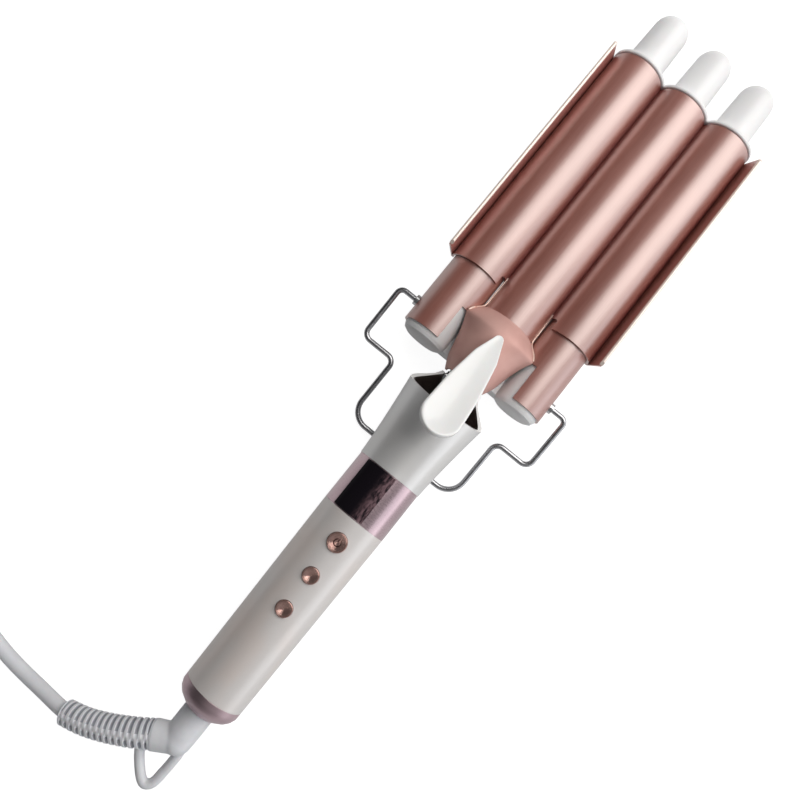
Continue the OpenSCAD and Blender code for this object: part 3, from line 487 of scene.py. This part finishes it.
def soft_plastic(name, tone_a, tone_b, rough):
    """Soft PVC: a dull skin with a fine grain and faint marks of handling."""
    s = Shade(name, Roughness=rough, Sheen_Weight=0.05, IOR=1.48,
              Subsurface_Weight=0.05, Subsurface_Scale=0.001)
    marks = s.noise(130, 4, 0.6)
    grain = s.noise(2800, 2)
    s.colour(s.patches(marks, 0.35, 0.72, tone_a, tone_b))
    return s.roughness(marks, rough - 0.06, rough + 0.08).bump(grain, 0.012 * MM)


def circuit_board():
    """Green solder mask over faint copper tracks that step aside here and there."""
    s = Shade("circuit_board", Roughness=0.35, Coat_Weight=0.3)
    aside = s.span(s.noise(120, 0), 0.45, 0.5, 0, 0.8 * MM)
    across = s.math("PINGPONG", s.math("ADD", s.xyz(s.place)[0], aside), 0.6 * MM)
    tracks = s.span(across, 0.35 * MM, 0.42 * MM)
    s.colour(s.blend(tracks, (0.012, 0.1, 0.04), (0.03, 0.2, 0.08)))
    return s.bump(tracks, 0.03 * MM)


def slot_finishes():
    """One finish for each material slot, and two for trim: the neck's rims, lighter as a painted highlight,
    and the relief's slots, darker as painted shade.
    """
    made = [
        rose_gold(), rim_highlight_gold(), matt_rose(), black_lens(), circuit_board(),
        rose_mirror("rose_mirror", 0.28),
        pearl_white("pearl_white", 0.2, (0.76, 0.67, 0.625), (0.72, 0.69, 0.675)),
        moulded_white("gloss_white", (0.84, 0.845, 0.835), (0.88, 0.885, 0.88), 0.2, 0.4),
        moulded_white("heat_proof_white", (0.82, 0.815, 0.82), (0.87, 0.87, 0.875), 0.36, 0.1),
        metal("bright_steel", (0.5, 0.5, 0.51), (0.62, 0.62, 0.63), 0.24),
        metal("heater_shoe", (0.5, 0.5, 0.52), (0.58, 0.58, 0.6), 0.4, (900, 40, 900)),
        metal("stand_chrome", (0.42, 0.42, 0.44), (0.54, 0.54, 0.56), 0.24, (300, 300, 300)),
        metal("pin_brass", (0.62, 0.5, 0.27), (0.7, 0.6, 0.36), 0.2),
        soft_plastic("dark_plastic", (0.02, 0.02, 0.022), (0.035, 0.035, 0.04), 0.5),
        soft_plastic("tie_black", (0.015, 0.015, 0.015), (0.03, 0.03, 0.03), 0.5),
        # painted shade: the relief's slots a darker grey than the cord
        soft_plastic("slot_shade_grey", (0.40, 0.41, 0.45), (0.46, 0.47, 0.51), 0.6),
        soft_plastic("cord_white", (0.74, 0.75, 0.79), (0.80, 0.81, 0.84), 0.42),
    ]
    return {finish.material.name: finish.material for finish in made}


def own_finish(name):
    """The finish of a node that has one of its own, or None: each button's is about its own middle."""
    if name in ("power_button", "plus_button", "minus_button"):
        low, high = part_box(name)
        return button_rose(name, (low + high) / 2, icon=name == "power_button").material
    if name == "front_collar":
        # the collar's inner faces get painted shade
        return pearl_white(name, 0.4, (0.72, 0.71, 0.70), (0.73, 0.73, 0.73), painted_inner_shade=True).material
    if name == "end_cap":
        return rose_mirror(name, 0.46).material
    return None


finishes = slot_finishes()
cord.data.materials.append(finishes["cord_white"])
for part in frame["record"]["subparts"]:
    materials = frame["nodes"][part["node"]].data.materials
    materials.clear()
    materials.append(own_finish(part["node"]) or finishes[part["material_slot"]])

# ---------- edges of the CAD nodes ----------

# Width of the rounding on each node's sharp edges, in mm
ROUNDING = {"clamp_plate": 0.42, "hinge_cover": 0.15, "jaw_carrier": 0.35, "front_collar": 0.3,
            "barrel_left": 0.15, "barrel_right": 0.15, "barrel_centre": 0.15, "display_band": 0.08,
            "display_window": 0.08, "end_cap": 0.2, "power_button": 0.25, "plus_button": 0.25,
            "minus_button": 0.25, "plug_body": 0.6}
OTHER_ROUNDING = 0.12
ROUNDED_FROM = math.radians(40)  # the least angle of an edge that is rounded
# Mouldings whose inner corners are blended: voxel size in mm and rounds of smoothing
BLENDED = {"swivel_stem": (0.4, 12), "tip_comb": (0.45, 6)}
PLAIN = ("wire_stand", "clamp_spring", "cord_tie")  # no sharp edges to round
ROUND_FORMS = ("hinge_cover", "plug_body", "thumb_lever")  # shaded smooth over wider angles
REPLACED = ("strain_relief", "thumb_lever", "power_cord", "cord_coil", "cord_tail")
JOIN = 0.003 * MM  # distance at which a solid's faces are joined
WELD = 0.0005 * MM  # distance at which a rounding's own corners are joined
FLAT = math.radians(0.2)  # the most angle between faces that count as one


def smoothing(angle):
    """Nodes that join the solid's faces and shade it smooth, with sharp edges above an angle."""
    group = bpy.data.node_groups.new("smooth_%d" % angle, "GeometryNodeTree")
    group.interface.new_socket("Geometry", in_out="INPUT", socket_type="NodeSocketGeometry")
    group.interface.new_socket("Geometry", in_out="OUTPUT", socket_type="NodeSocketGeometry")
    new = group.nodes.new
    start, end = new("NodeGroupInput"), new("NodeGroupOutput")
    plain = new("GeometryNodeRemoveAttribute")
    plain.inputs["Name"].default_value = "custom_normal"
    merge = new("GeometryNodeMergeByDistance")
    merge.inputs["Distance"].default_value = JOIN
    smooth, sharp = new("GeometryNodeSetShadeSmooth"), new("GeometryNodeSetShadeSmooth")
    sharp.domain = "EDGE"
    sharp.inputs["Shade Smooth"].default_value = False
    over = new("FunctionNodeCompare")
    over.inputs[1].default_value = math.radians(angle)
    group.links.new(new("GeometryNodeInputMeshEdgeAngle").outputs[0], over.inputs[0])
    group.links.new(over.outputs[0], sharp.inputs["Selection"])
    chain = [start, plain, merge, smooth, sharp, end]
    for a, b in zip(chain, chain[1:]):
        group.links.new(a.outputs[0], b.inputs["Geometry"])
    return group


SMOOTH = {angle: smoothing(angle) for angle in (28, 40)}


def modify(node, name, kind, **settings):
    """A new modifier with these settings."""
    modifier = node.modifiers.new(name, kind)
    for setting, value in settings.items():
        setattr(modifier, setting, value)


def finish_edges(name):
    """Smooth shading for a CAD node, and rounded edges or blended inner corners."""
    node = frame["nodes"][name]
    modify(node, "smooth", "NODES", node_group=SMOOTH[40 if name in ROUND_FORMS else 28])
    if name in BLENDED:
        voxel, rounds = BLENDED[name]
        modify(node, "blend", "REMESH", mode="VOXEL", voxel_size=voxel * MM, use_smooth_shade=True)
        modify(node, "relax", "SMOOTH", factor=0.5, iterations=rounds)
    elif name not in PLAIN:
        modify(node, "flat", "DECIMATE", decimate_type="DISSOLVE", angle_limit=FLAT)
        modify(node, "rounding", "BEVEL", width=ROUNDING.get(name, OTHER_ROUNDING) * MM, segments=2,
               limit_method="ANGLE", angle_limit=ROUNDED_FROM, harden_normals=True)
        modify(node, "weld", "WELD", merge_threshold=WELD)


for part in frame["record"]["subparts"]:
    if part["node"] not in REPLACED:
        finish_edges(part["node"])

# ---------- pieces that stand for CAD nodes, and trim ----------


def piece(name, bm, slot, body, replaced=None, finish=None):
    """An object of the mesh, in its slot's finish or another, that rides on a body."""
    mesh = bpy.data.meshes.new(name)
    bmesh.ops.recalc_face_normals(bm, faces=bm.faces)
    bm.to_mesh(mesh)
    bm.free()
    obj = linked(name, mesh)
    mesh.materials.append(finishes[finish or slot])
    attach(obj, body)
    if replaced:
        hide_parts(replaced)
    return obj


def skin(bm, rings):
    """Smooth faces between closed rings of points; returns the rings' vertices."""
    made = [[bm.verts.new(p) for p in points] for points in rings]
    for a, b in zip(made, made[1:]):
        for k in range(len(a)):
            after = (k + 1) % len(a)
            bm.faces.new([a[k], a[after], b[after], b[k]]).smooth = True
    return made


def add_solid(bm, rings):
    """A skin with both ends closed."""
    made = skin(bm, rings)
    bm.faces.new(made[0])
    bm.faces.new(list(reversed(made[-1])))


RELIEF_ROUTE = [(-0.0086, -0.1353, 0.0069), (-0.017, -0.141, 0.0057), (-0.026, -0.1466, 0.0036),
                (-0.0352, -0.1513, 0.0011), RELIEF_END]
RELIEF_R = (0.0065, 0.0056)  # at its start and at its end
RELIEF_STEPS, RELIEF_SIDES = 64, 48
RIBS = 16
SLOT_DEPTH = (0.3 * MM, 1.6 * MM)  # over the spine, and how much more on the two sides
SLOT_SHADE_DEPTH = 0.9 * MM  # depth from which a face of a slot has the darker grey of painted shade
SLOT_WALL = (0.42, 0.3)  # height of the ribs' wave at which a slot starts, and how much more to its bottom
SPINE = (0.12, 0.5)  # cosine from the spine at which the slots deepen, and how much more to their depth
FADE = (0.05, 0.04)  # parts of the length over which the slots begin and end
END_ROUNDS = (0.25 * MM, 0.5 * MM)  # at its start and at its end
END_SHARE = 0.012  # part of the length over which they run


def make_relief():
    """The ribbed strain relief: slots on two sides, half a rib apart, with a spine between them."""
    path = catmull(RELIEF_ROUTE, RELIEF_STEPS)
    rings, shaded_faces = [], []
    for i, (p, side, up) in enumerate(stations(path)):
        t = i / (len(path) - 1)
        crest = RELIEF_R[0] + (RELIEF_R[1] - RELIEF_R[0]) * t
        crest -= END_ROUNDS[0] * (1 - ease(t / END_SHARE)) + END_ROUNDS[1] * (1 - ease((1 - t) / END_SHARE))
        within = ease(t / FADE[0]) * ease((1 - t) / FADE[1])
        depths = []
        for k in range(RELIEF_SIDES):
            sideways = math.cos(2 * math.pi * k / RELIEF_SIDES)
            phase = RIBS * t + (0.5 if sideways > 0 else 0)
            wave = 0.5 + 0.5 * math.cos(2 * math.pi * phase)
            deepest = SLOT_DEPTH[0] + SLOT_DEPTH[1] * ease((abs(sideways) - SPINE[0]) / SPINE[1])
            depths.append(deepest * ease((wave - SLOT_WALL[0]) / SLOT_WALL[1]) * within)
        shaded_faces += [depth > SLOT_SHADE_DEPTH for depth in depths]
        rings.append([placed(q) for q in ring(p, side, up, [crest - depth for depth in depths])])
    bm = bmesh.new()
    add_solid(bm, rings)
    # faces deep in a slot take the darker grey of painted shade
    for face, sunk in zip(bm.faces, shaded_faces):
        face.material_index = int(sunk)
    ribs = piece("relief_ribs", bm, "cord_white", "swivel", "strain_relief")
    ribs.data.materials.append(finishes["slot_shade_grey"])


LEVER_TIP = (0.0878, 0.019)  # station and height of the lever's underside at its tip
LEVER_TILT = math.radians(23)
LEVER_LEN, LEVER_W = 59.5, 9.3  # length and half-width in mm
LEVER_REAR = LEVER_LEN - LEVER_W - 1  # distance of the rear circle's centre from the tip
LEVER_CIRCLES = [(2.1, 2.1), (0.25 * LEVER_LEN, 0.64 * LEVER_W), (0.55 * LEVER_LEN, 0.9 * LEVER_W),
                 (LEVER_REAR, LEVER_W)]  # distance from the tip, radius
LEVER_SIDE_STEPS = 56
# Part of the way from the middle to the edge, height, depth of the dish there, in mm
LEVER_SECTION = [(0, 3.2, 0.8), (0.2, 3.2, 0.76), (0.42, 3.2, 0.62), (0.62, 3.2, 0.4), (0.78, 3.2, 0.17),
                 (0.88, 3.2, 0.04), (0.935, 3.17, 0), (0.97, 3.03, 0), (0.99, 2.8, 0), (1, 2.4, 0),
                 (1, 1.0, 0), (0.99, 0.6, 0), (0.965, 0.28, 0), (0.92, 0.06, 0), (0.86, 0, 0), (0.5, 0, 0),
                 (0, 0, 0)]
FIRST_MIDDLE = 3.0  # distance from the tip where the section's middle line starts
FULL_DISH = 40  # distance from the tip from which the dish has its whole depth
RIB_HALF = 0.0024  # the rib under the lever: half its width, its rear and its front
RIB_REAR, RIB_FRONT = 0.058, LEVER_TIP[0] - 0.004
POST_R, POST_FOOT = 0.0024, 0.0129
POSTS = (0.084, 0.075)
RIB_INTO, POST_INTO = 0.6 * MM, 1 * MM  # how far they reach into the lever
OUTLINE_STEPS = 720


def lever_outline(count):
    """One side of the teardrop from its tip to its rear, as [half-width, distance from the tip] in mm."""
    fine = []
    for i in range(OUTLINE_STEPS + 1):
        a = math.pi * i / OUTLINE_STEPS
        across, along = math.sin(a), -math.cos(a)
        s, r = max(LEVER_CIRCLES, key=lambda c: c[0] * along + c[1])
        fine.append((r * across, s + r * along))
    lengths = [0.0]
    for a, b in zip(fine, fine[1:]):
        lengths.append(lengths[-1] + math.dist(a, b))
    out, j = [], 0
    for i in range(count + 1):
        want = lengths[-1] * i / count
        while j < len(fine) - 2 and lengths[j + 1] < want:
            j += 1
        t = (want - lengths[j]) / max(lengths[j + 1] - lengths[j], 1e-9)
        out.append(tuple(a + (b - a) * t for a, b in zip(fine[j], fine[j + 1])))
    return out


def on_lever(x, s, h):
    """A point on the lever, from its half-width, its distance from the tip and its height, in mm."""
    s, h = s * MM, h * MM
    return placed((x * MM, LEVER_TIP[0] - s * math.cos(LEVER_TILT) + h * math.sin(LEVER_TILT),
                   LEVER_TIP[1] + s * math.sin(LEVER_TILT) + h * math.cos(LEVER_TILT)))


def under_lever(y):
    """Height of the lever's underside at a station."""
    return LEVER_TIP[1] + math.tan(LEVER_TILT) * (LEVER_TIP[0] - y)


def make_lever():
    """The thumb lever: a dished teardrop with a rounded rim, on its rib and two posts."""
    side = lever_outline(LEVER_SIDE_STEPS)
    side[0], side[-1] = (0.0, side[0][1]), (0.0, side[-1][1])
    outline = side + [(-x, s) for x, s in reversed(side[1:-1])]
    rings = []
    for part_way, height, dish in LEVER_SECTION:
        points = []
        for x, s in outline:
            middle = min(max(s, FIRST_MIDDLE), LEVER_REAR)
            width = min(max(middle / FULL_DISH, 0.25), 1.0)
            points.append(on_lever(part_way * x, middle + part_way * (s - middle), height - dish * width))
        rings.append(points)
    bm = bmesh.new()
    skin(bm, rings)
    bmesh.ops.remove_doubles(bm, verts=bm.verts, dist=0.002 * MM)
    rib = [(RIB_FRONT, LEVER_TIP[1]), (RIB_REAR, LEVER_TIP[1]), (RIB_REAR, under_lever(RIB_REAR) + RIB_INTO),
           (RIB_FRONT, under_lever(RIB_FRONT) + RIB_INTO)]
    add_solid(bm, [[placed((x, y, z)) for y, z in rib] for x in (-RIB_HALF, RIB_HALF)])
    for y in POSTS:
        add_solid(bm, [ring(placed((0, y, z)), Vector((1, 0, 0)), Vector((0, 1, 0)), [POST_R] * 24)
                       for z in (POST_FOOT, under_lever(y) + POST_INTO)])
    piece("lever_cap", bm, "gloss_white", "clamp", "thumb_lever")


RIM_ROUTE = [(0.0135, 0.1165, 0.0044), (0.0135, 0.1128, 0.0044), (0.0135, 0.1055, 0.0045),
             (0.0136, 0.1005, 0.0047), (0.0146, 0.0982, 0.0056), (0.0160, 0.0963, 0.0076),
             (0.0174, 0.0942, 0.0097), (0.0187, 0.0917, 0.0109)]
RIM_R = 0.45 * MM
RIM_STEPS, RIM_SIDES = 12, 12
RIM_ROUND = 3  # steps over which its ends are rounded
RIM_END = 0.2  # its radius at the very end, of the whole


def make_rims():
    """The rolled bead on the two edges of the neck, which runs on along the cover's front edge."""
    bm = bmesh.new()
    for hand in (-1, 1):
        path = catmull([(hand * x, y, z) for x, y, z in RIM_ROUTE], RIM_STEPS)
        last = len(path) - 1
        rings = []
        for i, (p, side, up) in enumerate(stations(path, level=True)):
            near_end = max(0, 1 - min(i, last - i) / RIM_ROUND)
            r = RIM_R * math.sqrt(max(RIM_END ** 2, 1 - near_end ** 2))
            rings.append([placed(q) for q in ring(p, side, up, [r] * RIM_SIDES)])
        add_solid(bm, rings)
    # its finish is a painted highlight, lighter than the plate
    piece("neck_rims", bm, "rose_gold", "clamp", finish="rim_highlight_gold")


make_relief()
make_lever()
make_rims()

# ---------- floor, world and lamps ----------

FLOOR_HALF = 4
FLOOR_GREY = 0.32
FLOOR_GLOW = 0.92  # strength at which the floor is seen directly
AMBIENT = 0.3
HORIZON, CEILING = 0.7, 0.2
LEFT, RIGHT = 0.22, 1.5
UP_FROM, UP_TO = 0.03, 0.3  # height of a direction, between which HORIZON turns to CEILING
LEFT_FROM, RIGHT_TO = -0.6, 0.8  # how far a direction points right, between which LEFT turns to RIGHT
REFLECTED = 0.45  # how much of the floor's glow shows in reflections


def seen_directly(nodes):
    """1 for camera and transmission rays, which see the white floor, less for glossy rays, 0 for the rest."""
    ray = nodes.node("ShaderNodeLightPath").outputs
    share = nodes.math("MULTIPLY_ADD", ray["Is Glossy Ray"], REFLECTED, ray["Is Camera Ray"])
    return nodes.math("ADD", ray["Is Transmission Ray"], share)


def make_floor():
    """A white floor that keeps a soft shadow."""
    mesh = bpy.data.meshes.new("floor")
    s = FLOOR_HALF
    mesh.from_pydata([(-s, -s, 0), (s, -s, 0), (s, s, 0), (-s, s, 0)], [], [(0, 1, 2, 3)])
    floor = linked("floor", mesh)
    s = Shade("floor", Base_Color=(FLOOR_GREY,) * 3, Roughness=1, Specular_IOR_Level=0,
              Emission_Color=(1, 1, 1))
    s.link(s.math("MULTIPLY", seen_directly(s), FLOOR_GLOW), s.shader.inputs["Emission Strength"])
    mesh.materials.append(s.material)


def make_world():
    """White where it is seen directly. Reflections see it darker overhead and to the left, and its ambient
    light is weaker from the left."""
    world = bpy.data.worlds.new("studio")
    world.use_nodes = True
    nodes = Nodes(world.node_tree)
    direction = nodes.xyz(nodes.node("ShaderNodeTexCoord").outputs["Generated"])
    overhead = nodes.span(direction[2], UP_FROM, UP_TO, HORIZON, CEILING)
    sideways = nodes.span(direction[0], LEFT_FROM, RIGHT_TO, LEFT, RIGHT)
    ray = nodes.node("ShaderNodeLightPath").outputs
    strength = nodes.math("MULTIPLY", AMBIENT, sideways)
    for kind, seen in (("Is Glossy Ray", nodes.math("MULTIPLY", overhead, sideways)),
                       ("Is Transmission Ray", overhead), ("Is Camera Ray", 1.0)):
        strength = nodes.mix(ray[kind], strength, seen)
    background = world.node_tree.nodes["Background"]
    nodes.link(strength, background.inputs["Strength"])
    background.inputs["Color"].default_value = (1, 1, 1, 1)
    bpy.context.scene.world = world


def make_lamp(name, place, target, size, power, tint=(1, 1, 1)):
    """A soft rectangular lamp that looks at the target and isn't seen itself. Its power is in watts."""
    data = bpy.data.lights.new(name, "AREA")
    data.shape = "RECTANGLE"
    data.size, data.size_y = size
    data.energy = power
    data.color = tint
    lamp = linked(name, data)
    lamp.location = place
    lamp.rotation_mode = "QUATERNION"
    lamp.rotation_quaternion = (Vector(place) - Vector(target)).to_track_quat("Z", "Y")
    lamp.visible_camera = False
    return lamp


make_floor()
make_world()
make_lamp("key", (0.37, 0.62, 0.80), (0, 0.1, 0), (0.85, 1.1), 8.0, (1, 0.975, 0.94))
make_lamp("right", (0.95, 0.1, 0.27), (0, 0.05, 0), (1.3, 0.6), 2.7, (0.93, 0.96, 1))
make_lamp("tip_fill", (-0.3, 0.42, 0.32), (0, 0.2, 0), (0.3, 0.3), 0.85).visible_glossy = False
bpy.context.scene.view_settings.view_transform = "Standard"
